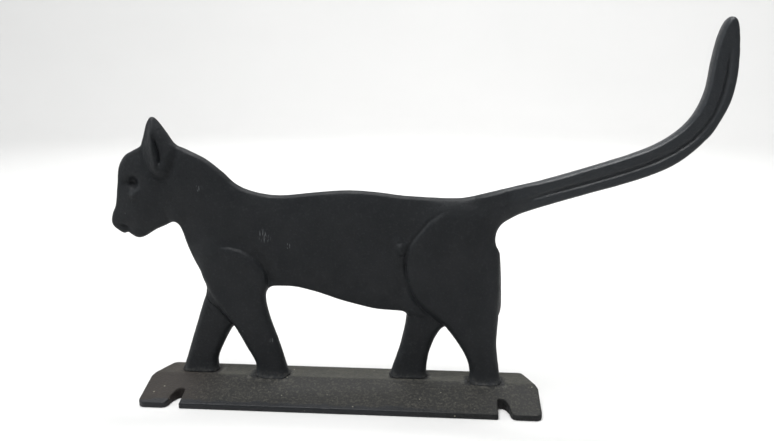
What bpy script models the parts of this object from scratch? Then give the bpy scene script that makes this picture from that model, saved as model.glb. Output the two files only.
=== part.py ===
"""Door stop: a walking cat, cast in two halves, on a wedge base plate.

+X runs towards the tail, +Y to the back, +Z up. The origin is at the centre of the base plate's underside.
"""

import math

import bmesh
import bpy
from mathutils import Vector

MM = 0.001
GAP = 0.3  # clearance between neighbouring pieces, in millimetres like every size below

# Base plate
PLATE_LENGTH = 288.4
PLATE_DEPTH = 55.7
PLATE_HEIGHT = 12.8
LIP_HEIGHT = 4.5
RAMP_DEPTH = 34.6
CORNER_RADIUS = 5.0
CLIP_LENGTH = 10.2
CLIP_DEPTH = 24.7
NOTCH_WALL = 113.9
NOTCH_DEPTH = 17.2
NOTCH_END_WIDTH = 5.0
FRONT = -PLATE_DEPTH / 2

# Cat
PARTING = FRONT + 41.4
TRUNK_HALF = 7.0
LEG_HALF = 8.4
LEG_OVERLAP = 3.0
CROTCH_HEIGHT = 45.0
TAIL_ROOT = 132.0  # beyond it the tail is solid, on the near half
FOOT_BOTTOM = 6.0
TRUNK_ROUND = 3.6
LEG_ROUND = 3.0
EYE = (-152.0, 157.2)
EAR = (-134.4, 180.0)

# Screws, all M4 countersunk
SHANK_RADIUS = 2.0
HEAD_RADIUS = 4.0
HEAD_HEIGHT = 2.2
FOOT_SINK = 0.4
TIE_SINK = 0.9
SOCKET_RADIUS = 1.2
SOCKET_DEPTH = 1.2
TIE_LENGTH = 11.2
FOOT_LENGTH = 22.0
TIE_PLACES = [(-118.0, 140.0), (-62.0, 130.0), (20.0, 112.0), (108.0, 145.0)]  # x and z
FOOT_PLACES = [(-108.8, 1), (-54.4, -1), (49.4, 1), (105.4, -1)]  # x, and +1 for the far side

ARC_STEPS = 5


# ---- small helpers ----


def point(x, y, z):
    return Vector((x, y, z)) * MM


def arc(cx, cy, radius, start, end, steps=ARC_STEPS):
    """Points along an arc, angles in degrees."""
    turns = [math.radians(start + (end - start) * i / steps) for i in range(steps + 1)]
    return [(cx + radius * math.cos(t), cy + radius * math.sin(t)) for t in turns]


def mirrored(points):
    return [(-x, y) for x, y in reversed(points)]


def collection(name):
    made = bpy.data.collections.new(name)
    bpy.context.scene.collection.children.link(made)
    return made


def material(name, color, roughness, metallic):
    made = bpy.data.materials.new(name)
    made.use_nodes = True
    shader = made.node_tree.nodes["Principled BSDF"]
    shader.inputs["Base Color"].default_value = (*color, 1.0)
    shader.inputs["Roughness"].default_value = roughness
    shader.inputs["Metallic"].default_value = metallic
    return made


def settle(obj, group, mat=None):
    """Puts an object in one collection only and gives it its material."""
    for holder in obj.users_collection:
        holder.objects.unlink(obj)
    group.objects.link(obj)
    if mat:
        obj.data.materials.clear()
        obj.data.materials.append(mat)
    return obj


def to_mesh(curve, group):
    """The curve object as a mesh object, with its caps welded."""
    bpy.context.view_layer.update()
    graph = bpy.context.evaluated_depsgraph_get()
    data = bpy.data.meshes.new_from_object(curve.evaluated_get(graph))
    shape = bmesh.new()
    shape.from_mesh(data)
    bmesh.ops.remove_doubles(shape, verts=shape.verts, dist=0.002 * MM)
    bmesh.ops.recalc_face_normals(shape, faces=shape.faces)
    shape.to_mesh(data)
    shape.free()
    made = bpy.data.objects.new(curve.name + "_mesh", data)
    made.matrix_world = curve.matrix_world
    group.objects.link(made)
    bpy.data.objects.remove(curve)
    return made


def slab(name, outline, half, rounding, group, smooth=True, resolution=3, upright=True, rings=1):
    """A flat outline made thick: `half` to each side of its plane, its rim rounded by `rounding`.

    An upright slab stands in the XZ plane, the other kind lies in the XY plane.
    """
    data = bpy.data.curves.new(name, "CURVE")
    data.dimensions = "2D"
    data.fill_mode = "BOTH"
    data.resolution_u = resolution
    data.extrude = (half - rounding) * MM
    data.bevel_depth = rounding * MM
    data.bevel_resolution = rings
    data.offset = -rounding * MM
    spline = data.splines.new("BEZIER" if smooth else "POLY")
    if smooth:
        spline.bezier_points.add(len(outline) - 1)
        for knot, (x, y) in zip(spline.bezier_points, outline, strict=True):
            knot.co = (x * MM, y * MM, 0)
            knot.handle_left_type = knot.handle_right_type = "AUTO"
    else:
        spline.points.add(len(outline) - 1)
        for knot, (x, y) in zip(spline.points, outline, strict=True):
            knot.co = (x * MM, y * MM, 0, 1)
    spline.use_cyclic_u = True
    curve = bpy.data.objects.new(name, data)
    group.objects.link(curve)
    if upright:
        curve.rotation_euler = (math.radians(90), 0, 0)
    return to_mesh(curve, group)


def box(name, low, high, group):
    bpy.ops.mesh.primitive_cube_add(size=1)
    made = bpy.context.object
    made.name = name
    low, high = point(*low), point(*high)
    made.location = (low + high) / 2
    made.scale = high - low
    bpy.ops.object.transform_apply(location=False, rotation=False, scale=True)
    return settle(made, group)


def turned(name, profile, group, steps=20):
    """A turned shape: (radius, height) points from top to bottom around the local Z axis."""
    data = bpy.data.meshes.new(name)
    shape = bmesh.new()
    rim = [shape.verts.new((r * MM, 0, h * MM)) for r, h in profile]
    for a, b in zip(rim, rim[1:], strict=False):
        shape.edges.new((a, b))
    shape.to_mesh(data)
    shape.free()
    made = bpy.data.objects.new(name, data)
    group.objects.link(made)
    screw = made.modifiers.new("turn", "SCREW")
    screw.steps = screw.render_steps = steps
    screw.use_merge_vertices = True
    screw.merge_threshold = 0.00001
    screw.use_normal_calculate = True
    return made


def boolean(obj, other, operation):
    step = obj.modifiers.new(operation.lower(), "BOOLEAN")
    step.operation = operation
    step.solver = "EXACT"
    step.object = other


def apply_all(obj):
    """Bakes the modifiers into the mesh, so later steps start from it."""
    bpy.context.view_layer.update()
    graph = bpy.context.evaluated_depsgraph_get()
    old = obj.data
    obj.data = bpy.data.meshes.new_from_object(obj.evaluated_get(graph))
    obj.modifiers.clear()
    bpy.data.meshes.remove(old)


def hide(cutters):
    for cutter in cutters.objects:
        cutter.hide_render = True
        cutter.display_type = "WIRE"


# ---- outlines of the cat, as (x, z) from the centre of the base ----


def head_outline():
    """Throat, jaw, face and ear, from the chest to the nape."""
    throat = [(-103.2, 88.4), (-109.5, 98.7), (-114.7, 110.8), (-119.2, 124.0), (-124.0, 127.9)]
    throat.append((-130.7, 125.3))
    jaw = [(-138.0, 121.9), (-146.7, 116.7), (-152.0, 115.8), (-156.8, 118.0), (-162.5, 119.1)]
    jaw.append((-168.8, 123.3))
    nose = [(-170.9, 128.0), (-169.8, 133.8), (-167.0, 140.9), (-164.9, 154.8), (-163.1, 167.4)]
    nose.append((-158.6, 175.9))
    ear = [(-146.6, 183.3), (-144.6, 188.0), (-139.9, 201.6), (-136.8, 204.9), (-132.0, 201.0)]
    ear.append((-121.2, 185.9))
    return throat + jaw + nose + ear


def back_outline():
    """Nape, back and the tail up to its tip."""
    nape = [(-110.9, 180.7), (-98.0, 174.3), (-86.6, 165.4), (-77.0, 156.7), (-64.0, 151.4), (-45.0, 149.0)]
    spine = [(-22.0, 151.3), (2.0, 153.4), (24.0, 152.6), (40.0, 150.6), (54.0, 149.7), (76.0, 149.0)]
    spine.append((92.0, 150.3))
    tail = [(124.0, 158.5), (143.0, 163.4), (162.0, 169.1), (200.0, 181.6), (219.0, 189.8), (233.8, 200.6)]
    tip = [(242.8, 212.6), (247.6, 226.1), (250.0, 246.0), (252.7, 260.5), (256.2, 270.1), (260.5, 274.4)]
    return nape + spine + tail + tip


def tail_outline():
    """The outer side of the tail, from its tip down to the rump."""
    bend = [(264.8, 270.2), (267.2, 254.5), (267.4, 236.0), (264.2, 217.6), (255.3, 198.8), (242.1, 183.9)]
    return bend + [(220.8, 169.9), (189.5, 158.7), (151.6, 147.1), (124.6, 137.2), (114.4, 130.6)]


def rump_outline():
    return [(109.4, 122.6), (109.6, 115.2), (113.3, 107.0), (115.1, 85.0), (114.6, 64.0)]


def trunk_outline():
    """The body without legs: its belly is closed from the rump to the chest."""
    rear = [(100.0, 56.0), (74.0, 57.0), (46.0, 64.1), (26.0, 65.3)]
    belly = [(12.0, 68.1), (-2.0, 71.7), (-13.6, 75.6), (-24.5, 78.6), (-43.0, 81.1)]
    chest = [(-54.0, 80.0), (-66.0, 72.0), (-82.0, 62.0), (-97.0, 69.0), (-100.8, 79.0)]
    return head_outline() + back_outline() + tail_outline() + rump_outline() + rear + belly + chest


def near_fore_leg():
    """The near shoulder and fore leg."""
    shoulder = [(-105.4, 96.0), (-100.0, 108.5), (-82.0, 111.0), (-67.0, 104.8), (-57.5, 94.0), (-54.6, 84.0)]
    front = [(-81.3, 50.0), (-72.8, 34.5), (-66.0, 22.0), (-65.4, 12.0), (-65.6, FOOT_BOTTOM)]
    back = [(-38.8, FOOT_BOTTOM), (-40.4, 14.0), (-47.4, 38.0), (-54.6, 59.0), (-57.0, 74.0)]
    return shoulder + back[::-1] + front[::-1] + [(-97.3, 73.0), (-101.6, 82.0)]


def far_fore_leg():
    front = [(-101.2, 79.0), (-105.8, 66.0), (-114.3, 40.5), (-122.2, 16.2), (-123.8, FOOT_BOTTOM)]
    back = [(-96.2, FOOT_BOTTOM), (-96.4, 15.0), (-94.5, 26.6), (-83.0, 48.4), (-66.0, 66.0)]
    shoulder = [(-59.0, 82.0), (-64.0, 100.0), (-82.0, 108.0), (-98.0, 100.0)]
    return front + back + shoulder


def near_hind_leg():
    """The near haunch and hind leg."""
    haunch = [(65.6, 60.4), (56.6, 69.4), (50.0, 83.0), (48.2, 102.0), (52.6, 119.0), (62.0, 134.0)]
    croup = [(78.0, 141.0), (94.0, 137.0), (105.0, 124.0), (109.2, 115.0), (113.1, 107.0), (115.0, 85.0)]
    back = [(114.3, 61.5), (113.3, 44.0), (114.7, 30.0), (117.0, 18.0), (118.0, FOOT_BOTTOM)]
    front = [(93.6, FOOT_BOTTOM), (94.2, 20.0), (91.0, 31.5), (83.0, 44.4), (75.0, 53.4)]
    return haunch + croup + back + front


def far_hind_leg():
    front = [(47.2, 62.6), (43.3, 40.6), (36.0, 17.0), (34.4, FOOT_BOTTOM)]
    back = [(62.2, FOOT_BOTTOM), (62.0, 18.0), (65.0, 34.6), (71.8, 49.2), (84.0, 60.0)]
    haunch = [(96.0, 80.0), (98.0, 104.0), (84.0, 122.0), (66.0, 124.0), (52.0, 110.0), (46.0, 86.0)]
    return front + back + haunch


# ---- pieces ----


def notch_outline(side):
    """An open notch in the front edge, seen from above. `side` is +1 for the right end."""
    lip = FRONT
    end = lip + NOTCH_DEPTH
    right = [(NOTCH_WALL, lip - 4), (NOTCH_WALL, end - 1), (NOTCH_WALL + 1, end)]
    right += [(NOTCH_WALL + NOTCH_END_WIDTH - 0.6, end), (NOTCH_WALL + NOTCH_END_WIDTH + 0.9, end - 2.4)]
    right += [(NOTCH_WALL + 7.9, lip + 9.4), (NOTCH_WALL + 8.2, lip + 4.6)]
    right += arc(NOTCH_WALL + 12.2, lip + 4.0, 4.0, 184, 268, 4) + [(NOTCH_WALL + 12.4, lip - 4)]
    return [(side * x, y) for x, y in right]


def plate_outline():
    """The base plate seen from above."""
    half, back = PLATE_LENGTH / 2, PLATE_DEPTH / 2
    right = arc(half - CORNER_RADIUS, FRONT + CORNER_RADIUS, CORNER_RADIUS, -90, 0)
    right += [(half, back - CLIP_DEPTH - 1.5), (half - 0.7, back - CLIP_DEPTH + 1.2)]
    right += [(half - CLIP_LENGTH + 0.9, back - 2.4), (half - CLIP_LENGTH - 1.8, back)]
    return right + mirrored(right)


def wedge(name, length, grow, group):
    """The lip, ramp and flat strip as one long prism; `grow` lifts its top."""
    top, lip = PLATE_HEIGHT + grow, LIP_HEIGHT + grow
    profile = [(FRONT, 0), (FRONT, lip - 1.2), (FRONT + 0.5, lip - 0.4), (FRONT + 1.6, lip)]
    profile += [(FRONT + RAMP_DEPTH, top), (PLATE_DEPTH / 2 - 0.9, top), (PLATE_DEPTH / 2, top - 0.9)]
    made = slab(name, profile + [(PLATE_DEPTH / 2, 0)], length / 2, 0, group, smooth=False)
    made.rotation_euler = (math.radians(90), 0, math.radians(90))
    return made


def screw_shape(name, length, group):
    """A countersunk screw, its head's flat face up at local zero, with a round socket for the key."""
    profile = [(0, -SOCKET_DEPTH), (SOCKET_RADIUS, -SOCKET_DEPTH), (SOCKET_RADIUS, 0), (HEAD_RADIUS, 0)]
    profile += [(HEAD_RADIUS, -0.3), (SHANK_RADIUS, -HEAD_HEIGHT), (SHANK_RADIUS, 0.5 - length)]
    return turned(name, profile + [(SHANK_RADIUS - 0.5, -length), (0, -length)], group)


def screw_hole(name, length, group):
    """The clearance hole for such a screw, open at the head."""
    head, shank = HEAD_RADIUS + GAP, SHANK_RADIUS + GAP
    profile = [(0, 2), (head, 2), (head, -0.3 - GAP), (shank, -HEAD_HEIGHT - GAP), (shank, -length - GAP)]
    return turned(name, profile + [(0, -length - GAP)], group)


def tie_screw_spot():
    """How a tie screw lies: its head on the far face, its shank towards the front."""
    return PARTING + TRUNK_HALF - TIE_SINK, (math.radians(-90), 0, 0)


def place_tie(obj, x, z):
    y, turn = tie_screw_spot()
    obj.location, obj.rotation_euler = point(x, y, z), turn


def place_foot(obj, x, side):
    """A foot screw stands head down in the plate's underside, on the middle of the leg's thickness."""
    y = PARTING + side * (LEG_HALF - LEG_OVERLAP) / 2
    obj.location, obj.rotation_euler = point(x, y, FOOT_SINK), (math.radians(180), 0, 0)


def build_plate(foot_holes, parts, cutters, iron):
    plate = settle(wedge("base_plate", PLATE_LENGTH + 10, 0, parts), parts, iron)
    outline = slab("plate_outline", plate_outline(), 20, 0, cutters, smooth=False, upright=False)
    boolean(plate, outline, "INTERSECT")
    for side in (-1, 1):
        notch = slab(f"notch_{side}", notch_outline(side), 20, 0, cutters, smooth=False, upright=False)
        boolean(plate, notch, "DIFFERENCE")
    for hole in foot_holes:
        boolean(plate, hole, "DIFFERENCE")
    apply_all(plate)
    plate.name = "base_plate"
    return plate


def parting_cutters(side, cutters):
    """What a half loses: all beyond the parting plane, but less at the lower legs, which are thicker.

    The near half keeps the tail whole, and the far half loses it.
    """
    reach, far_end = 60, 400
    upper = PARTING + side * GAP / 2
    lower = PARTING - side * LEG_OVERLAP
    root = TAIL_ROOT if side < 0 else far_end
    blocks = [("upper", upper, CROTCH_HEIGHT, far_end, root), ("lower", lower, 0, CROTCH_HEIGHT + 1, far_end)]
    made = []
    for name, edge, bottom, top, right in blocks:
        low, high = sorted((edge, edge - side * reach))
        made.append(box(f"parting_{name}_{side}", (-far_end, low, bottom), (right, high, top), cutters))
    if side > 0:
        tail = ((TAIL_ROOT - GAP, PARTING - reach, 0), (far_end, PARTING + reach, far_end))
        made.append(box("tail_clearance", *tail, cutters))
    return made


def dimple(name, x, y, z, size, cutters):
    """An egg-shaped hollow, `size` being its three half axes."""
    bpy.ops.mesh.primitive_uv_sphere_add(segments=16, ring_count=8, radius=1)
    made = settle(bpy.context.object, cutters)
    made.name = name
    made.scale = point(*size)
    made.location = point(x, y, z)
    return made


def face_cutters(side, cutters):
    """The eye and the inner ear on one side."""
    face = PARTING + side * TRUNK_HALF
    eye = dimple(f"eye_{side}", *[EYE[0], face, EYE[1]], (4.6, 1.8, 4.6), cutters)
    ear = dimple(f"inner_ear_{side}", EAR[0], face, EAR[1], (2.6, 2.4, 14.0), cutters)
    ear.rotation_euler = (0, math.radians(-9), 0)
    return [eye, ear]


def build_half(name, side, outlines, holes, parts, cutters, paint):
    """One half casting, `side` -1 for the near one: trunk and legs joined, then cut at the parting plane."""
    half = settle(slab(name, trunk_outline(), TRUNK_HALF, TRUNK_ROUND, parts), parts, paint)
    half.location.y = PARTING * MM
    for i, outline in enumerate(outlines):
        leg = slab(f"{name}_leg_{i}", outline, LEG_HALF, LEG_ROUND, cutters)
        leg.location.y = PARTING * MM
        boolean(half, leg, "UNION")
    seat = wedge(f"{name}_seat", PLATE_LENGTH + 40, GAP, cutters)
    for cutter in parting_cutters(side, cutters) + face_cutters(side, cutters) + [seat] + holes:
        boolean(half, cutter, "DIFFERENCE")
    apply_all(half)
    half.name = name
    return half


def build_screws(name, length, places, place, parts, cutters, steel):
    """The screws of one kind, each with the hole it needs."""
    holes = []
    for i, spot in enumerate(places, 1):
        screw = settle(screw_shape(f"{name}_{i}", length, parts), parts, steel)
        hole = screw_hole(f"{name}_hole_{i}", length, cutters)
        place(screw, *spot)
        place(hole, *spot)
        holes.append(hole)
    return holes


def main():
    for obj in list(bpy.data.objects):
        bpy.data.objects.remove(obj)
    parts, cutters = collection("cat_door_stop"), collection("cutters")
    iron = material("worn_iron", (0.035, 0.032, 0.028), 0.6, 0.2)
    paint = material("black_paint", (0.012, 0.013, 0.015), 0.5, 0.0)
    steel = material("zinc_steel", (0.55, 0.55, 0.53), 0.35, 1.0)
    foot_holes = build_screws("foot_screw", FOOT_LENGTH, FOOT_PLACES, place_foot, parts, cutters, steel)
    tie_holes = build_screws("tie_screw", TIE_LENGTH, TIE_PLACES, place_tie, parts, cutters, steel)
    build_plate(foot_holes, parts, cutters, iron)
    near_legs, far_legs = [near_fore_leg(), near_hind_leg()], [far_fore_leg(), far_hind_leg()]
    holes = tie_holes + foot_holes
    build_half("cat_near_half", -1, near_legs, holes, parts, cutters, paint)
    build_half("cat_far_half", 1, far_legs, holes, parts, cutters, paint)
    hide(cutters)


main()
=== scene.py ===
"""Looks of the cat door stop: fine cast surfaces, paint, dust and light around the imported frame.

The castings are sculpted as smooth implicit fields in millimetres, with x and z as in the frame and y counted
from the parting plane of the two halves, and then turned into meshes.
"""

import math

import bmesh
import bpy
import numpy as np
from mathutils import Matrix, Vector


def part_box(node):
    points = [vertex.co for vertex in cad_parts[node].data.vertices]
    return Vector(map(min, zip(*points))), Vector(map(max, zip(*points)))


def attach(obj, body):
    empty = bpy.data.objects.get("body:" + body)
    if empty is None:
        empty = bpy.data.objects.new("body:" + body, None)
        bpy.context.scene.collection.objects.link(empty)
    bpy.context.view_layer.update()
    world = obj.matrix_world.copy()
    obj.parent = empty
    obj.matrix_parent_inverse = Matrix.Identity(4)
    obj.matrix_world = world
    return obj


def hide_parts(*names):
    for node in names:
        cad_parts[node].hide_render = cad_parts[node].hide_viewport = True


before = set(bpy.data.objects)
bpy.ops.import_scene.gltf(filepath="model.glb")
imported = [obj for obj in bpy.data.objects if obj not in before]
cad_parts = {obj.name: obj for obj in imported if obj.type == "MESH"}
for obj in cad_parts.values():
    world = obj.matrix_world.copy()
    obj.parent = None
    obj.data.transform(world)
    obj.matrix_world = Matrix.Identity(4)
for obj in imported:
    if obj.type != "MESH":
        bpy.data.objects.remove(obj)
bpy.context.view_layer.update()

import openvdb
from mathutils import Matrix, Vector

MM = 0.001
FIGURE_STEP = 0.6
PLATE_STEP = 0.5
SEAM = 0.12  # width of the joint line between the two halves
FIELD_LIMIT = 2.5  # the fields are cut off this far from the surface
FLATNESS = 0.01  # how readily flat places get larger faces, from 0 to 1
SHARP_EDGE = 50  # degrees


def box_mm(node):
    low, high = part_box(node)
    return np.array(low) / MM, np.array(high) / MM


def centre_mm(node):
    low, high = box_mm(node)
    return (low + high) / 2


PLATE_LOW, PLATE_HIGH = box_mm("base_plate")
NEAR_LOW, NEAR_HIGH = box_mm("cat_near_half")
PLATE_TOP = PLATE_HIGH[2]
FRONT, BACK = PLATE_LOW[1], PLATE_HIGH[1]
RAMP_DEPTH = 34.6  # from the front edge to the flat strip at the back
LIP_HEIGHT = 4.5
LIP_FLAT = 1.6  # the ramp starts this far behind the front edge
NOTCH_WALL = 113.9  # from the plate's middle to the inner wall of a notch
UPPER_EDGE, LOWER_EDGE = 1.3, 0.9  # how softly the plate's edges are rounded

LEG_HALF = 8.4  # from the parting plane to the outer face of a leg
LEG_OVERLAP = 3.0  # how far a leg reaches past the parting plane
PARTING = NEAR_LOW[1] + LEG_HALF  # y of the parting plane
LEG_RIM = 5.0  # a leg is rounded this far in from its outline
LEG_EDGE_DROP = 0.9  # how much thinner a leg is at its outline
FOOT_FLARE = 1.1  # how far a foot widens at the plate
FOOT_SPREAD = 2.2  # its faces widen this many times as much
TRUNK_HALF = 7.0
TRUNK_RIM = 2.3  # the trunk is rounded this far in from its outline
EDGE_SHARE = 0.46  # half thickness at the trunk's outline, as a share of TRUNK_HALF
BODY_SWELL = 27.0  # the trunk gets thicker over this distance from its outline
TIE_HALF = 6.4  # half thickness that the trunk keeps at a tie screw
TAIL_ROOT = 132.0  # x from which the tail belongs to the near half alone
TAIL_HALF = 6.2
SOFT_JOIN = 5.0  # how softly the trunk runs into the legs that stand behind it
CRISP_JOIN = 0.9  # and into the legs that stand proud of it
BRIDGE = 1.6  # how far the paint bridges the joint line where the far hind leg leaves the trunk
SHANK_HOLE, HEAD_HOLE = 2.3, 4.3  # radii
TIE_HOLE_DEPTH = 12.2  # from the far face of the trunk
FOOT_HOLE_TOP = 23.0  # height over the floor
TIES = [centre_mm(f"tie_screw_{i}") for i in range(1, 5)]
FOOT_SCREWS = [centre_mm(f"foot_screw_{i}") for i in range(1, 5)]


# ---- camera, light and stage ----


def add_camera():
    """A camera low in front of the plate, a little right of its middle, looking slightly down and left."""
    data = bpy.data.cameras.new("camera")
    data.lens, data.sensor_width = 36.5, 36.0
    camera = bpy.data.objects.new("camera", data)
    bpy.context.collection.objects.link(camera)
    place = Vector((0.0722, -0.5372, 0.2496))
    forward = Vector((-0.0703, 0.9755, -0.2086)).normalized()
    roll = Matrix.Rotation(math.radians(-0.21), 3, forward)
    turn = roll @ forward.to_track_quat("-Z", "Y").to_matrix()
    camera.matrix_world = Matrix.Translation(place) @ turn.to_4x4()
    bpy.context.scene.camera = camera


def add_area(name, place, target, size, power, color=(1, 1, 1)):
    """A round area light at `place` that faces `target`."""
    data = bpy.data.lights.new(name, "AREA")
    data.shape = "DISK"
    data.size = size
    data.energy = power
    data.color = color
    lamp = bpy.data.objects.new(name, data)
    bpy.context.collection.objects.link(lamp)
    lamp.location = place
    aim = Vector(target) - Vector(place)
    lamp.rotation_euler = aim.to_track_quat("-Z", "Y").to_euler()


def add_light():
    add_area("ceiling_light", (-0.2, -0.3, 1.7), (0, 0, 0), 1.0, 34)
    add_area("wall_light", (0.1, 0.75, 1.75), (0.1, 2.0, 0.7), 1.0, 46)
    add_area("window_light", (-1.5, -0.45, 0.7), (0, 0, 0.1), 0.9, 8, (0.95, 0.98, 1.0))
    world = bpy.data.worlds.new("soft_room")
    bpy.context.scene.world = world
    world.use_nodes = True
    back = world.node_tree.nodes["Background"]
    back.inputs["Color"].default_value = (0.94, 0.97, 1.0, 1)
    back.inputs["Strength"].default_value = 0.38
    bpy.context.scene.view_settings.view_transform = "Standard"


def add_stage():
    """A pale floor that rises at its rim like a bowl, so that it ends nowhere from any side."""
    flat, rim, rise, sides = 1.9, 1.1, 2.4, 96
    profile = [(flat / 2, 0)]
    turns = [math.radians(90 * i / 12) for i in range(13)]
    profile += [(flat + rim * math.sin(t), rim * (1 - math.cos(t))) for t in turns]
    profile.append((flat + rim, rise))
    shape = bmesh.new()
    rings = []
    spots = [math.tau * i / sides for i in range(sides)]
    for radius, height in profile:
        rings.append([shape.verts.new((radius * math.cos(t), radius * math.sin(t), height)) for t in spots])
    shape.faces.new(rings[0])
    for low, high in zip(rings, rings[1:], strict=False):
        for i in range(sides):
            after = (i + 1) % sides
            shape.faces.new((low[i], high[i], high[after], low[after]))
    data = bpy.data.meshes.new("pale_floor")
    shape.to_mesh(data)
    shape.free()
    data.shade_smooth()
    floor = bpy.data.objects.new("pale_floor", data)
    bpy.context.collection.objects.link(floor)
    data.materials.append(floor_material())


# ---- node helpers ----


class Nodes:
    """Short ways to add and join shader nodes in one material."""

    def __init__(self, name):
        self.material = bpy.data.materials.new(name)
        self.material.use_nodes = True
        self.tree = self.material.node_tree
        self.shader = self.tree.nodes["Principled BSDF"]
        self.place = self.add("ShaderNodeTexCoord").outputs["Object"]

    def add(self, kind, **settings):
        node = self.tree.nodes.new(kind)
        for key, value in settings.items():
            setattr(node, key, value)
        return node

    def join(self, source, target):
        self.tree.links.new(source, target)

    def noise(self, size, detail=2.0, rough=0.5, stretch=None, seed=0.0):
        """Noise whose largest lumps are about `size` millimetres across."""
        node = self.add("ShaderNodeTexNoise")
        node.inputs["Scale"].default_value = 1 / (size * MM)
        node.inputs["Detail"].default_value = detail
        node.inputs["Roughness"].default_value = rough
        mapping = self.add("ShaderNodeMapping")
        mapping.inputs["Location"].default_value = (seed, seed * 0.7, seed * 1.3)
        if stretch:
            mapping.inputs["Scale"].default_value = stretch
        self.join(self.place, mapping.inputs["Vector"])
        self.join(mapping.outputs["Vector"], node.inputs["Vector"])
        return node.outputs["Fac"]

    def cells(self, size, seed=0.0):
        """Distance from the middle of cells about `size` millimetres apart."""
        node = self.add("ShaderNodeTexVoronoi")
        node.inputs["Scale"].default_value = 1 / (size * MM)
        mapping = self.add("ShaderNodeMapping")
        mapping.inputs["Location"].default_value = (seed, -seed, seed * 0.4)
        self.join(self.place, mapping.inputs["Vector"])
        self.join(mapping.outputs["Vector"], node.inputs["Vector"])
        return node.outputs["Distance"]

    def ramp(self, value, low, high, to_low=0.0, to_high=1.0):
        """Maps low..high to to_low..to_high, smooth and clamped."""
        node = self.add("ShaderNodeMapRange", interpolation_type="SMOOTHSTEP")
        self.join(value, node.inputs["Value"])
        node.inputs["From Min"].default_value = low
        node.inputs["From Max"].default_value = high
        node.inputs["To Min"].default_value = to_low
        node.inputs["To Max"].default_value = to_high
        return node.outputs["Result"]

    def math(self, operation, a, b):
        node = self.add("ShaderNodeMath", operation=operation)
        for socket, value in zip(node.inputs, (a, b), strict=False):
            if isinstance(value, (int, float)):
                socket.default_value = value
            else:
                self.join(value, socket)
        return node.outputs["Value"]

    def mix(self, share, a, b):
        """A colour between a and b, each a colour or a socket."""
        node = self.add("ShaderNodeMix", data_type="RGBA")
        self.join(share, node.inputs["Factor"])
        for key, value in (("A", a), ("B", b)):
            socket = [s for s in node.inputs if s.name == key and s.type == "RGBA"][0]
            if isinstance(value, tuple):
                socket.default_value = (*value, 1)
            else:
                self.join(value, socket)
        return [s for s in node.outputs if s.type == "RGBA"][0]

    def blend(self, share, a, b):
        """A number between a and b, all three sockets."""
        node = self.add("ShaderNodeMix", data_type="FLOAT")
        for key, source in (("Factor", share), ("A", a), ("B", b)):
            self.join(source, node.inputs[key])
        return node.outputs["Result"]

    def spot(self, x, z, size):
        """1 near the upright line through (x, z), in millimetres, and 0 beyond `size`."""
        node = self.add("ShaderNodeVectorMath", operation="SUBTRACT")
        self.join(self.place, node.inputs[0])
        node.inputs[1].default_value = (x * MM, 0, z * MM)
        flat = self.add("ShaderNodeVectorMath", operation="MULTIPLY")
        self.join(node.outputs["Vector"], flat.inputs[0])
        flat.inputs[1].default_value = (1, 0, 1)
        gap = self.add("ShaderNodeVectorMath", operation="LENGTH")
        self.join(flat.outputs["Vector"], gap.inputs[0])
        return self.ramp(gap.outputs["Value"], size * MM, size * 0.5 * MM)

    def beside(self, x, y, half_x, half_y):
        """Distance outside an upright block around (x, y), its sides in millimetres."""
        place = self.place
        steps = [("SUBTRACT", (x, y, 0)), ("ABSOLUTE", (0, 0, 0))]
        steps += [("SUBTRACT", (half_x, half_y, 1000)), ("MAXIMUM", (0, 0, 0))]
        for operation, value in steps:
            node = self.add("ShaderNodeVectorMath", operation=operation)
            self.join(place, node.inputs[0])
            node.inputs[1].default_value = [number * MM for number in value]
            place = node.outputs["Vector"]
        length = self.add("ShaderNodeVectorMath", operation="LENGTH")
        self.join(place, length.inputs[0])
        return length.outputs["Value"]

    def bump(self, height, depth, before=None, strength=1.0):
        """Bump of `depth` millimetres."""
        node = self.add("ShaderNodeBump")
        node.inputs["Strength"].default_value = strength
        node.inputs["Distance"].default_value = depth * MM
        self.join(height, node.inputs["Height"])
        if before:
            self.join(before, node.inputs["Normal"])
        return node.outputs["Normal"]

    def axis(self, name):
        node = self.add("ShaderNodeSeparateXYZ")
        self.join(self.place, node.inputs["Vector"])
        return node.outputs[name]

    def facing_up(self):
        geometry = self.add("ShaderNodeNewGeometry")
        node = self.add("ShaderNodeSeparateXYZ")
        self.join(geometry.outputs["Normal"], node.inputs["Vector"])
        return node.outputs["Z"]

    def set(self, **values):
        for key, value in values.items():
            socket = self.shader.inputs[key.replace("_", " ")]
            if isinstance(value, (int, float)):
                socket.default_value = value
            elif isinstance(value, tuple):
                socket.default_value = (*value, 1)
            else:
                self.join(value, socket)
        return self.material


# ---- materials ----


def floor_material():
    make = Nodes("pale_floor")
    tone = make.mix(make.noise(400), (0.63, 0.628, 0.62), (0.66, 0.657, 0.65))
    return make.set(Base_Color=tone, Roughness=0.55, Specular_IOR_Level=0.3)


# Places where the paint is rubbed, as (x, z, size).
SCRATCHED = [(-104.0, 154.2, 3.0), (-95.0, 149.6, 1.8), (-55.6, 120.4, 6.0)]
SCRATCHED += [(-38.6, 113.0, 2.6), (-52.6, 41.0, 2.0)]


def rubbed_places(make):
    """1 in streaks at the rubbed places."""
    streaks = make.noise(1.7, 2, 0.5, stretch=(2.2, 1.0, 0.35), seed=12)
    near = None
    for x, z, size in SCRATCHED:
        spot = make.spot(x, z, size)
        near = make.math("MAXIMUM", near, spot) if near else spot
    return make.math("MULTIPLY", make.ramp(streaks, 0.54, 0.62, 0.0, 0.7), near)


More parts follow.
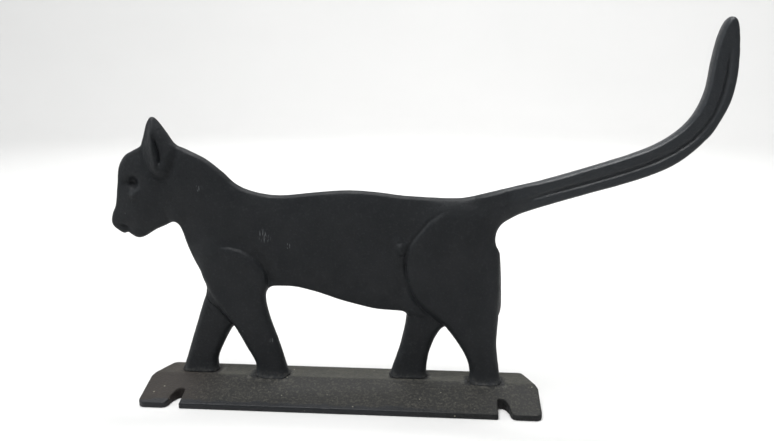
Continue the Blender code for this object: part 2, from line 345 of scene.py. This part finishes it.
def paint_material():
    """Matt blue-black paint over a sand-cast grain, glossier and finely crazed on the tail, with a lighter
    tone there that is painted sheen.
    """
    make = Nodes("black_paint")
    along, tail_start, tail_full = make.axis("X"), 0.092, 0.15
    patches = make.noise(38, 3)
    tone = make.mix(make.ramp(patches, 0.3, 0.7), (0.0073, 0.0086, 0.0102), (0.0104, 0.0116, 0.0132))
    # painted sheen: the colour is lightened along the tail to stand in for its glossy reflection of the light
    # above
    tone = make.mix(make.ramp(along, tail_start, tail_full, 0.0, 0.8), tone, (0.020, 0.0225, 0.026))
    grain = make.ramp(make.noise(1.7, 3, 0.6, seed=4), 0.5, 0.74, 0.0, 0.4)
    tone = make.mix(grain, tone, (0.025, 0.027, 0.029))
    tone = make.mix(rubbed_places(make), tone, (0.11, 0.115, 0.12))
    scattered = make.ramp(make.noise(60, seed=3), 0.5, 0.56, 0.0, 0.4)
    stray = make.math("MULTIPLY", make.ramp(make.cells(13, 2.0), 0.055, 0.03), scattered)
    tone = make.mix(stray, tone, (0.07, 0.072, 0.074))
    low = make.ramp(make.axis("Z"), (PLATE_TOP + 6) * MM, (PLATE_TOP - 3) * MM, 0.0, 0.75)
    dust = make.math("MULTIPLY", low, make.ramp(make.noise(2.6, 3, 0.6, seed=6), 0.42, 0.66))
    tone = make.mix(dust, tone, (0.052, 0.050, 0.044))
    crazing = make.noise(1.6, 3, 0.6, stretch=(1.6, 1.0, 0.5), seed=7)
    depth = make.bump(make.noise(3.6, 2, 0.5, seed=1), 0.3)
    depth = make.bump(make.noise(1.3, 2, 0.55), 0.2, depth)
    depth = make.bump(crazing, 0.1, depth, 0.5)
    body = make.ramp(make.noise(9, 3, seed=5), 0.3, 0.7, 0.5, 0.62)
    tail = make.ramp(crazing, 0.35, 0.65, 0.34, 0.48)
    rough = make.blend(make.ramp(along, tail_start, tail_full), body, tail)
    gloss = make.ramp(along, tail_start, tail_full, 0.22, 0.31)
    return make.set(Base_Color=tone, Roughness=rough, Normal=depth, Specular_IOR_Level=gloss)


def dust_and_top_light(make, patches, fine):
    """Colour of the iron where it faces up: dust, and painted light from above; lighter on the strip behind
    the ramp.
    """
    tone = make.mix(make.ramp(patches, 0.35, 0.68), (0.0102, 0.0102, 0.0092), (0.0175, 0.017, 0.0148))
    crease = (FRONT + RAMP_DEPTH) * MM
    behind = make.ramp(make.axis("Y"), crease - 1.5 * MM, crease + 1.5 * MM, 0.0, 0.75)
    tone = make.mix(behind, tone, (0.058, 0.0575, 0.045))
    tone = make.mix(make.ramp(fine, 0.46, 0.66, 0.0, 0.8), tone, (0.056, 0.054, 0.046))
    tone = make.mix(make.ramp(fine, 0.5, 0.32, 0.0, 0.8), tone, (0.004, 0.004, 0.004))
    coarse = make.ramp(make.noise(5, 3, 0.6, seed=14), 0.35, 0.65, 0.0, 0.35)
    return make.mix(coarse, tone, (0.010, 0.0105, 0.0105))


def stain_and_shade_feet(make, tone, fine):
    """Black paint run out round each foot, darkened also as painted contact shadow, with a broken fringe of
    pale dust round it.
    """
    crumbs = make.ramp(make.noise(5, 3, 0.65, seed=15), 0.47, 0.66, 0.0, 0.5)
    ragged = make.ramp(fine, 0.3, 0.7, -0.0012, 0.0012)
    for x, y, _ in FOOT_SCREWS:
        gap = make.math("ADD", make.beside(x, y, 11.5, 4.5), ragged)
        fringe = make.math("MULTIPLY", make.ramp(gap, 0.0072, 0.0045), crumbs)
        tone = make.mix(fringe, tone, (0.10, 0.098, 0.086))
        # painted contact shadow as well as paint run out: the iron darkens close round each foot
        tone = make.mix(make.ramp(gap, 0.0048, 0.0022), tone, (0.0085, 0.009, 0.0095))
    return tone


def lip_wear(make):
    """How bare and smooth the iron is along the front lip, most of all at the left and in the middle."""
    wander = make.ramp(make.noise(9, 3, seed=11), 0.3, 0.7, -0.0015, 0.0015)
    depth = make.math("ADD", make.axis("Y"), wander)
    edge = make.ramp(depth, (FRONT + 5.5) * MM, (FRONT + 3.5) * MM, 0.0, 0.85)
    return make.math("MULTIPLY", edge, make.ramp(make.axis("X"), 0.10, 0.03, 0.15, 1.0))


def iron_material():
    """Worn grey-brown cast iron: lighter where it faces up, partly dust and partly painted light from above,
    and darker and smoother on the lip.
    """
    make = Nodes("worn_iron")
    patches, fine = make.noise(30, 4, 0.6), make.noise(1.9, 3, 0.6, seed=2)
    dark = make.mix(make.ramp(patches, 0.3, 0.7), (0.0030, 0.0034, 0.0038), (0.0052, 0.0053, 0.0053))
    # painted light and shade: faces turned up get the lighter colour, sides and undersides the darker one
    tone = make.mix(make.ramp(make.facing_up(), 0.35, 0.97), dark, dust_and_top_light(make, patches, fine))
    tone = stain_and_shade_feet(make, tone, fine)
    brown = make.ramp(make.axis("X"), -0.075, -0.125, 0.0, 0.5)
    tone = make.mix(brown, tone, (0.022, 0.015, 0.012))
    worn = lip_wear(make)
    tone = make.mix(worn, tone, (0.006, 0.0072, 0.0095))
    chipped = make.ramp(make.noise(26, seed=8), 0.46, 0.54, 0.0, 0.6)
    specks = make.math("MULTIPLY", make.ramp(make.cells(7, 5.0), 0.1, 0.055), chipped)
    tone = make.mix(specks, tone, (0.30, 0.285, 0.23))
    depth = make.bump(make.noise(3.4, 3, 0.6, seed=6), 0.4)
    depth = make.bump(make.noise(1.4, 2, 0.6, seed=9), 0.3, depth)
    dull, smooth = make.ramp(fine, 0.3, 0.7, 0.6, 0.85), make.ramp(fine, 0.3, 0.7, 0.42, 0.5)
    rough = make.blend(worn, dull, smooth)
    return make.set(Base_Color=tone, Roughness=rough, Normal=depth, Specular_IOR_Level=0.35)


def steel_material():
    """Dulled zinc on steel."""
    make = Nodes("screw_steel")
    tone = make.mix(make.noise(1.5, 3), (0.33, 0.33, 0.32), (0.5, 0.5, 0.48))
    rough = make.ramp(make.noise(0.8, 2), 0.3, 0.7, 0.32, 0.5)
    depth = make.bump(make.noise(0.6, 2), 0.03)
    return make.set(Base_Color=tone, Roughness=rough, Normal=depth, Metallic=1.0)


# ---- fields ----


def step_up(value, low, high):
    """0 below low, 1 above high and smooth between."""
    share = np.clip((value - low) / (high - low), 0, 1)
    return share * share * (3 - 2 * share)


def join_smooth(a, b, width):
    """The union of two fields with a fillet of about `width`."""
    overlap = np.maximum(width - np.abs(a - b), 0)
    return np.minimum(a, b) - overlap * overlap / (4 * width)


def cut_smooth(a, b, width):
    """Both fields at once, with an edge rounded by about `width`."""
    return -join_smooth(-a, -b, width)


def loop_through(points, steps=7):
    """A closed smooth curve through the points."""
    p = np.array(points, float)
    before, after, beyond = np.roll(p, 1, 0), np.roll(p, -1, 0), np.roll(p, -2, 0)
    made = []
    for s in np.arange(steps) / steps:
        bend = 2 * before - 5 * p + 4 * after - beyond
        twist = -before + 3 * p - 3 * after + beyond
        made.append(0.5 * (2 * p + (after - before) * s + bend * s**2 + twist * s**3))
    return np.stack(made, 1).reshape(-1, 2)


class Sheet:
    """A flat grid of (x, z) places, with maps over it."""

    def __init__(self, low, high, step):
        self.step = step
        self.u = np.arange(low[0], high[0] + step, step, dtype=np.float32)
        self.v = np.arange(low[1], high[1] + step, step, dtype=np.float32)
        self.x, self.z = np.meshgrid(self.u, self.v, indexing="ij")

    def depth_inside(self, points, reach=14, smooth=True):
        """How far each place lies inside the outline, negative outside, and never under minus `reach`."""
        loop = loop_through(points) if smooth else np.array(points, float)
        low, high = loop.min(0) - reach, loop.max(0) + reach
        a, b = np.searchsorted(self.u, (low[0], high[0]))
        c, d = np.searchsorted(self.v, (low[1], high[1]))
        x, z = self.x[a:b, c:d], self.z[a:b, c:d]
        nearest = np.full(x.shape, reach**2, np.float32)
        inside = np.zeros(x.shape, bool)
        for (x0, z0), (x1, z1) in zip(loop, np.roll(loop, -1, 0), strict=True):
            ex, ez = x1 - x0, z1 - z0
            along = np.clip(((x - x0) * ex + (z - z0) * ez) / max(ex * ex + ez * ez, 1e-9), 0, 1)
            gap_x, gap_z = x - x0 - along * ex, z - z0 - along * ez
            np.minimum(nearest, gap_x * gap_x + gap_z * gap_z, out=nearest)
            if z0 != z1:
                crosses = ((z0 > z) != (z1 > z)) & (x < x0 + (z - z0) * ex / ez)
                inside ^= crosses
        made = np.full(self.x.shape, -reach, np.float32)
        near = np.sqrt(nearest)
        made[a:b, c:d] = np.where(inside, near, -near)
        return made

    def near_line(self, points):
        """(distance from the open line, share of the way along it)."""
        p = np.array(points, float)
        best = np.full(self.x.shape, 1e6, np.float32)
        share = np.zeros(self.x.shape, np.float32)
        count = len(p) - 1
        for i in range(count):
            (x0, z0), (x1, z1) = p[i], p[i + 1]
            ex, ez = x1 - x0, z1 - z0
            along = np.clip(((self.x - x0) * ex + (self.z - z0) * ez) / (ex * ex + ez * ez), 0, 1)
            gap = np.hypot(self.x - x0 - along * ex, self.z - z0 - along * ez)
            closer = gap < best
            best = np.where(closer, gap, best)
            share = np.where(closer, (i + along) / count, share)
        return best, share

    def lumps(self, size, depth, seed):
        """Gentle random unevenness, `size` across and `depth` high."""
        random = np.random.default_rng(seed)
        counts = [int(len(c) * self.step / size) + 4 for c in (self.u, self.v)]
        coarse = random.standard_normal(counts)
        for side, line in enumerate((self.u, self.v)):
            spot = (line - line[0]) / size + 1
            base = np.floor(spot).astype(int)
            t = spot - base
            weights = [(1 - t) ** 3, 3 * t**3 - 6 * t**2 + 4, -3 * t**3 + 3 * t**2 + 3 * t + 1, t**3]
            parts = [np.moveaxis(coarse, side, -1)[..., base + k - 1] * w / 6 for k, w in enumerate(weights)]
            coarse = np.moveaxis(sum(parts), -1, side)
        return (coarse * depth).astype(np.float32)


def pillow(depth, y, centre, half, rim):
    """A slab with an elliptic rim: `depth` is how far inside the outline, `half` its half thickness."""
    across = np.maximum(1 - depth / rim, 0)
    return (np.sqrt(across**2 + ((y - centre) / half) ** 2) - 1) * np.minimum(rim, half)


def mesh_from(name, values, low, step):
    """The zero surface of a field that is negative inside, with larger faces where it is flat."""
    grid = openvdb.FloatGrid(background=FIELD_LIMIT)
    grid.copyFromArray(np.clip(values, -FIELD_LIMIT, FIELD_LIMIT).astype(np.float32))
    points, triangles, quads = grid.convertToPolygons(0.0, FLATNESS)
    points = (points * step + np.array(low)) * MM
    corners = np.concatenate([triangles[:, ::-1].ravel(), quads[:, ::-1].ravel()]).astype(np.int32)
    sizes = np.repeat([3, 4], [len(triangles), len(quads)])
    starts = np.concatenate([[0], np.cumsum(sizes)[:-1]]).astype(np.int32)
    data = bpy.data.meshes.new(name)
    data.vertices.add(len(points))
    data.vertices.foreach_set("co", points.astype(np.float32).ravel())
    data.loops.add(len(corners))
    data.loops.foreach_set("vertex_index", corners)
    data.polygons.add(len(starts))
    data.polygons.foreach_set("loop_start", starts)
    data.update(calc_edges=True)
    data.validate()
    data.shade_smooth()
    data.set_sharp_from_angle(angle=math.radians(SHARP_EDGE))
    made = bpy.data.objects.new(name, data)
    bpy.context.collection.objects.link(made)
    return made


# ---- outlines of the cat, as (x, z) from the centre of the plate's underside ----


def head_line():
    throat = [(-103.2, 88.4), (-109.5, 98.7), (-114.7, 110.8), (-119.2, 124.0), (-124.0, 127.9)]
    throat.append((-130.7, 125.3))
    jaw = [(-138.0, 121.9), (-146.7, 116.7), (-152.0, 115.8), (-156.5, 118.1), (-158.9, 119.6)]
    jaw.append((-162.5, 119.1))
    nose = [(-168.8, 123.3), (-170.9, 128.0), (-169.8, 133.8), (-167.0, 140.9), (-164.9, 154.8)]
    nose.append((-163.1, 167.4))
    brow = [(-158.6, 175.9), (-152.1, 180.2), (-146.4, 183.4)]
    ear = [(-144.6, 188.0), (-140.7, 200.1), (-136.8, 204.9), (-132.0, 201.0), (-126.6, 193.6)]
    ear.append((-121.2, 185.9))
    return throat + jaw + nose + brow + ear


def back_line():
    nape = [(-110.9, 180.7), (-98.0, 174.3), (-86.6, 165.4), (-77.0, 156.7), (-64.0, 151.4), (-45.0, 149.0)]
    spine = [(-22.0, 151.3), (2.0, 153.4), (24.0, 152.6), (40.0, 150.6), (54.0, 149.7), (76.0, 149.0)]
    spine.append((92.0, 150.3))
    return nape + spine


def tail_top():
    lower = [(124.0, 158.5), (143.0, 163.4), (162.0, 169.1), (200.0, 181.6), (219.0, 189.8), (233.8, 200.6)]
    tip = [(242.8, 212.6), (247.6, 226.1), (250.0, 246.0), (252.7, 260.5), (256.2, 270.1), (260.5, 274.2)]
    return lower + tip


def tail_under():
    bend = [(264.7, 270.2), (267.0, 254.5), (267.2, 236.0), (264.1, 217.6), (255.3, 198.8), (249.2, 191.2)]
    lower = [(242.1, 183.9), (232.8, 176.4), (220.8, 169.9), (206.2, 164.1), (189.5, 158.7), (170.3, 152.9)]
    return bend + lower + [(151.6, 147.1), (136.3, 142.0), (124.6, 137.2), (114.4, 130.6)]


def rump_line():
    return [(109.4, 122.6), (109.6, 115.2), (113.3, 107.0), (115.0, 85.0), (114.5, 64.0)]


def trunk_line():
    rear = [(100.0, 56.0), (74.0, 57.0), (60.0, 62.0), (46.0, 64.1), (26.0, 65.3)]
    belly = [(12.0, 68.1), (-2.0, 71.7), (-13.6, 75.6), (-24.5, 78.6), (-34.0, 80.6), (-43.0, 81.1)]
    chest = [(-54.0, 80.0), (-66.0, 72.0), (-82.0, 62.0), (-97.0, 69.0), (-100.8, 79.0)]
    return head_line() + back_line() + tail_top() + tail_under() + rump_line() + rear + belly + chest


def near_fore_leg():
    shoulder = [(-105.4, 96.0), (-100.0, 108.5), (-82.0, 111.0), (-67.0, 104.8), (-57.5, 94.0), (-54.6, 84.0)]
    back = [(-57.0, 74.0), (-54.6, 59.0), (-47.4, 38.0), (-40.9, 14.0), (-39.4, 2.0)]
    front = [(-65.6, 2.0), (-65.6, 12.0), (-66.1, 22.0), (-72.8, 34.5), (-81.3, 50.0)]
    return shoulder + back + front + [(-97.3, 73.0), (-101.6, 82.0)]


def far_fore_leg():
    front = [(-101.2, 79.0), (-105.8, 66.0), (-114.3, 40.5), (-121.8, 16.2), (-123.8, 2.0)]
    back = [(-96.6, 2.0), (-96.4, 15.0), (-94.5, 26.6), (-83.0, 48.4), (-66.0, 66.0)]
    return front + back + [(-59.0, 82.0), (-64.0, 100.0), (-82.0, 108.0), (-98.0, 100.0)]


def near_hind_leg():
    haunch = [(73.6, 56.2), (65.4, 62.6), (55.4, 72.6), (49.4, 84.8), (46.9, 101.7), (49.2, 113.5)]
    haunch.append((56.4, 124.6))
    croup = [(66.0, 134.6), (78.0, 140.6), (94.0, 137.0), (105.0, 124.2), (109.2, 115.0), (113.1, 107.0)]
    back = [(114.8, 85.0), (114.1, 61.5), (113.3, 44.0), (114.6, 30.0), (116.2, 17.2), (117.2, 2.0)]
    front = [(94.4, 2.0), (94.2, 20.0), (91.0, 31.5), (83.0, 44.4)]
    return haunch + croup + back + front


def far_hind_leg():
    front = [(47.2, 62.6), (43.3, 40.6), (36.4, 17.1), (34.8, 2.0)]
    back = [(61.8, 2.0), (62.0, 18.0), (65.0, 34.6), (71.8, 49.2), (84.0, 60.0)]
    hidden = [(96.0, 80.0), (98.0, 104.0), (84.0, 122.0), (66.0, 124.0), (52.0, 110.0), (46.0, 86.0)]
    return front + back + hidden


def ear_line():
    front = [(-135.6, 203.4), (-139.4, 194.0), (-141.6, 186.2), (-141.4, 178.2), (-138.8, 169.6)]
    front.append((-135.2, 164.6))
    back = [(-129.8, 163.0), (-124.2, 165.6), (-121.8, 172.0), (-120.2, 178.5), (-121.4, 185.4)]
    return front + back + [(-130.4, 198.4)]


EYE = (-151.9, 157.2)
EYE_CORNER = [(-159.6, 156.8), (-155.0, 157.6)]
LOWER_LID = [(-154.4, 147.2), (-151.6, 148.2), (-149.0, 150.4)]
MOUTH = [(-163.4, 126.2), (-159.6, 124.8), (-156.4, 122.6)]
EAR_SLIT = [(-134.6, 194.0), (-133.6, 189.6), (-132.2, 185.5), (-130.6, 180.0), (-129.9, 175.2)]
EAR_SLIT.append((-130.2, 169.8))
EAR_RIDGES = [[(-136.0, 197.0), (-134.4, 183.8), (-132.6, 171.6)]]
EAR_RIDGES.append([(-131.6, 196.0), (-128.4, 186.3), (-124.4, 172.6)])
FLANK_FOLD = [(42.2, 117.4), (43.6, 111.8), (43.4, 106.4)]
TAIL_RIDGE = [(91.0, 142.3), (102.0, 142.8), (113.0, 144.7), (129.9, 149.1), (147.8, 154.8), (170.4, 161.4)]
TAIL_RIDGE += [(189.5, 167.4), (202.7, 172.0), (217.3, 177.6), (230.0, 184.5), (241.1, 192.9), (248.0, 201.0)]
TAIL_RIDGE += [(254.3, 211.7), (258.4, 224.9), (260.0, 236.6), (260.4, 246.0), (260.2, 259.0)]


# ---- the cat ----


def plate_top(y):
    """Height of the plate's top at a depth y, counted from the middle of the plate."""
    share = np.clip((y - FRONT - LIP_FLAT) / (RAMP_DEPTH - LIP_FLAT), 0, 1)
    return LIP_HEIGHT + (PLATE_TOP - LIP_HEIGHT) * share


def hollow(gap, width, power=2):
    """1 where the gap is 0, falling off over `width`."""
    return np.exp(-((np.abs(gap) / width) ** power))


def ridge(sheet, points, width):
    """1 on the line through the points and falling off over `width`, fading at both ends."""
    gap, share = sheet.near_line(points)
    return hollow(gap, width) * np.sin(np.pi * np.clip(share, 0.04, 0.96)) ** 0.5


def face_relief(sheet):
    """The eye, the mouth and the ear, in millimetres dug in. Negative raises."""
    eye_gap = np.hypot(sheet.x - EYE[0], (sheet.z - EYE[1]) * 0.95)
    dig = 1.4 * hollow(eye_gap, 4.0, 3) + 0.5 * hollow(eye_gap, 6.5)
    dig += 0.4 * ridge(sheet, EYE_CORNER, 2.0) - 0.5 * ridge(sheet, LOWER_LID, 2.4)
    dig += 0.8 * ridge(sheet, MOUTH, 1.6)
    ear = sheet.depth_inside(ear_line())
    dig += -1.1 * step_up(ear, -1.5, 4.5) + 0.3 * hollow(ear + 1.8, 2.0)
    gap, share = sheet.near_line(EAR_SLIT)
    dig += hollow(gap, 0.8) * step_up(share, 0, 0.4) * (1 - step_up(share, 0.85, 1))
    for line, height in zip(EAR_RIDGES, (0.8, 0.4), strict=True):
        dig -= height * ridge(sheet, line, 2.6)
    return dig


def leg_grooves(sheet, trunk, fore, hind, others):
    """The grooves round the shoulder and the haunch, in millimetres dug in."""
    held = step_up(np.maximum(trunk, np.maximum(*others)), 1, 6)
    shoulder = 0.45 * hollow(fore + 0.6, 1.2) + 0.9 * hollow(fore + 3, 4.5)
    haunch = 1.0 * hollow(hind + 0.6, 1.2) + 0.5 * hollow(hind + 3, 4.5)
    shoulder *= step_up(sheet.x, -96, -74)
    haunch *= 1 - step_up(sheet.x, 60, 80)
    fainter = 1 - 0.45 * step_up(sheet.z, 72, 96) * (sheet.x > 0)
    return (shoulder + haunch) * held * fainter


def relief_maps(sheet, trunk, near_legs, far_legs):
    """(near, far) millimetres to dig in, over the places of the sheet. Negative raises."""
    gap, share = sheet.near_line(TAIL_RIDGE)
    score = 0.6 * hollow(gap, 1.3) * step_up(share, 0.06, 0.3) * (1 - step_up(share, 0.9, 1.0))
    shared = face_relief(sheet) + score - 1.4 * ridge(sheet, FLANK_FOLD, 3.6)
    maps = []
    for seed, legs, others in ((11, near_legs, far_legs), (23, far_legs, near_legs)):
        dig = shared + leg_grooves(sheet, trunk, *legs, others)
        dig = dig + sheet.lumps(9, 0.07, seed) + sheet.lumps(2.6, 0.06, seed + 1)
        maps.append(dig.astype(np.float32))
    return maps


def trunk_halves(sheet, trunk):
    """Half thickness of the trunk, which swells inwards from its outline."""
    swell = 1 - (1 - np.clip(trunk / BODY_SWELL, 0, 1)) ** 2
    half = TRUNK_HALF * (EDGE_SHARE + (1 - EDGE_SHARE) * swell)
    for x, _, z in TIES:
        half = np.maximum(half, TIE_HALF * hollow(np.hypot(sheet.x - x, sheet.z - z), 16, 4))
    return np.maximum(half, TAIL_HALF * step_up(sheet.x, 100, 150))


def parting_maps(sheet, trunk, near_leg, far_leg):
    """(y of the surface between the halves, half the gap there). Beside the trunk each leg is whole."""
    outside_near = step_up(-np.maximum(trunk, near_leg), 0, 3)
    outside_far = step_up(-np.maximum(trunk, far_leg), 0, 3)
    split = 12 * (outside_far - outside_near) + 40 * step_up(sheet.x, TAIL_ROOT, TAIL_ROOT + 1)
    bridged = step_up(np.abs(split), 0.5, 3) * (sheet.x > 20) * (sheet.x < TAIL_ROOT - 5)
    return split, SEAM / 2 - BRIDGE * bridged


def drill(sheet, whole, y):
    """The screws' holes at a depth y, and the legs' ends cut off at the plate."""
    for x, _, z in TIES:
        gap = np.hypot(sheet.x - x, sheet.z - z)
        whole = np.maximum(whole, -screw_room(gap, TRUNK_HALF - y))
    for x, depth, _ in FOOT_SCREWS:
        hole = np.hypot(sheet.x - x, y - (depth - PARTING)) - SHANK_HOLE
        whole = np.maximum(whole, -np.maximum(hole, sheet.z - FOOT_HOLE_TOP))
    floor = plate_top(y + PARTING) + 0.15
    return np.maximum(whole, (floor - sheet.z) * 0.98)


def cat_fields():
    """(near half, far half, lowest corner): the two halves as fields in the same grid."""
    step = FIGURE_STEP
    low = (NEAR_LOW[0] - 3, PLATE_LOW[2] + LIP_HEIGHT + 1)
    sheet = Sheet(low, (NEAR_HIGH[0] + 3, NEAR_HIGH[2] + 3), step)
    trunk = sheet.depth_inside(trunk_line(), 40)
    near_legs = [sheet.depth_inside(line(), 20) for line in (near_fore_leg, near_hind_leg)]
    far_legs = [sheet.depth_inside(line(), 20) for line in (far_fore_leg, far_hind_leg)]
    near_leg, far_leg = np.maximum(*near_legs), np.maximum(*far_legs)
    relief = relief_maps(sheet, trunk, near_legs, far_legs)
    trunk_half = trunk_halves(sheet, trunk)
    split, apart = parting_maps(sheet, trunk, near_leg, far_leg)
    flare = FOOT_FLARE * np.exp(-np.maximum(sheet.z - PLATE_TOP, -1) / 3.0)
    # The tops of the shoulder and the haunch sink into the trunk.
    sink = np.where(sheet.x > 0, step_up(sheet.z, 88, 130), 0.9 * step_up(sheet.z, 84, 112))
    rounding = LEG_EDGE_DROP * (1 - np.clip(np.maximum(near_leg, far_leg) / 12, 0, 1)) ** 2
    leg_centre = (LEG_HALF - LEG_OVERLAP) / 2
    leg_half = (LEG_HALF + LEG_OVERLAP) / 2 - 0.2 - 1.8 * sink - rounding
    crisp = CRISP_JOIN + 7 * sink
    # A leg behind the trunk thickens towards its root, so that it runs on into the trunk.
    root = step_up(sheet.z, 36, 62)
    ys = np.arange(-13.5, 13.5 + step, step)
    near = np.empty((len(sheet.u), len(ys), len(sheet.v)), np.float32)
    far = np.empty_like(near)
    for j, y in enumerate(ys):
        lean = float(step_up(np.float32(y), -2, 2))
        body = pillow(trunk, y, 0, trunk_half, TRUNK_RIM)
        half, spread, shift = leg_half + FOOT_SPREAD * flare, lean * root, (1 - lean) * root
        front = pillow(near_leg + flare, y, spread - leg_centre, half + spread, LEG_RIM)
        behind = pillow(far_leg + flare, y, leg_centre - shift, half + shift, LEG_RIM)
        whole = join_smooth(body, behind, SOFT_JOIN + (crisp - SOFT_JOIN) * lean)
        whole = join_smooth(whole, front, crisp + (SOFT_JOIN - crisp) * lean)
        whole = drill(sheet, whole + relief[0] * (1 - lean) + relief[1] * lean, y)
        near[:, j, :] = np.maximum(whole, y - split + apart)
        far[:, j, :] = np.maximum(whole, split - y + apart)
    return near, far, (sheet.u[0], ys[0] + PARTING, sheet.v[0])


def screw_room(gap, depth):
    """Field of a countersunk hole: `gap` from its axis, `depth` under its mouth. Negative in the hole."""
    radius = np.interp(depth, (1.5, 3.5), (HEAD_HOLE, SHANK_HOLE))
    return np.maximum(gap - radius, depth - TIE_HOLE_DEPTH)


def build_cat():
    """The two castings of the cat, in place of the CAD's halves."""
    near, far, low = cat_fields()
    made = []
    for name, node, field in (("near_casting", "cat_near_half", near), ("far_casting", "cat_far_half", far)):
        piece = mesh_from(name, field, low, FIGURE_STEP)
        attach(piece, "root")
        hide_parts(node)
        made.append(piece)
    return made


# ---- the plate ----


def notch_line():
    """The right-hand notch of the front edge, from the plate's end inwards, as (x, y) from its middle."""
    wall = NOTCH_WALL
    outer = [(wall + 12.4, FRONT), (wall + 9.8, FRONT + 1.2), (wall + 8.4, FRONT + 4.4)]
    outer.append((wall + 7.9, FRONT + 9.4))
    inner = [(wall + 6.0, FRONT + 14.6), (wall + 4.2, FRONT + 17.0), (wall + 1.2, FRONT + 17.2)]
    return outer + inner + [(wall, FRONT + 16.0), (wall, FRONT + 0.6), (wall - 0.6, FRONT)]


def front_corner(cx, cy, radius):
    """A quarter circle, from the front to the right."""
    turns = np.radians(np.linspace(-90, 0, 9))
    return [(cx + radius * math.cos(t), cy + radius * math.sin(t)) for t in turns]


def plate_line():
    """The plate seen from above, with its notches, counterclockwise from the front's middle."""
    half, rounding = PLATE_HIGH[0], 5.2
    right = notch_line()[::-1]
    right += front_corner(half - rounding, FRONT + rounding, rounding)
    right += [(half, BACK - 25.6), (half - 0.3, BACK - 24.4), (half - 6.2, BACK - 9.0)]
    right += [(half - 8.8, BACK - 2.8), (half - 10.0, BACK - 0.9), (half - 12.2, BACK)]
    return right + [(-x, y) for x, y in reversed(right)]


def plate_field():
    """(field, lowest corner). The sheet lies flat here, so its z is the plate's y."""
    step = PLATE_STEP
    sheet = Sheet((PLATE_LOW[0] - 2, FRONT - 2), (PLATE_HIGH[0] + 2, BACK + 2), step)
    inside = sheet.depth_inside(plate_line(), 30, smooth=False)
    top = plate_top(sheet.z)
    wear = sheet.lumps(12, 0.1, 5) + sheet.lumps(4, 0.08, 6) + sheet.lumps(2, 0.05, 7)
    heights = np.arange(-1.8, PLATE_TOP + 2, step)
    made = np.empty((len(sheet.u), len(sheet.v), len(heights)), np.float32)
    for k, z in enumerate(heights):
        roof = (z - top) * 0.97 + wear * step_up(inside, 0, 4)
        body = cut_smooth(roof + 0.05, -inside + 0.1, UPPER_EDGE)
        body = cut_smooth(body, np.full_like(body, -z), LOWER_EDGE)
        for x, depth, _ in FOOT_SCREWS:
            gap = np.hypot(sheet.x - x, sheet.z - depth)
            radius = np.interp(z, (0.8, 2.9), (HEAD_HOLE, SHANK_HOLE))
            body = np.maximum(body, radius - gap)
        made[:, :, k] = body
    return made, (sheet.u[0], sheet.v[0], heights[0])


def build_plate():
    """The plate's casting, in place of the CAD's plate."""
    field, low = plate_field()
    piece = mesh_from("plate_casting", field, low, PLATE_STEP)
    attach(piece, "root")
    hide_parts("base_plate")
    return piece


def finish_screws(material):
    """The screws keep the CAD's shape and only get a material."""
    for name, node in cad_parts.items():
        if "screw" in name:
            node.data.materials.clear()
            node.data.materials.append(material)


def main():
    add_camera()
    add_stage()
    add_light()
    paint, iron = paint_material(), iron_material()
    for piece in build_cat():
        piece.data.materials.append(paint)
    build_plate().data.materials.append(iron)
    finish_screws(steel_material())


main()
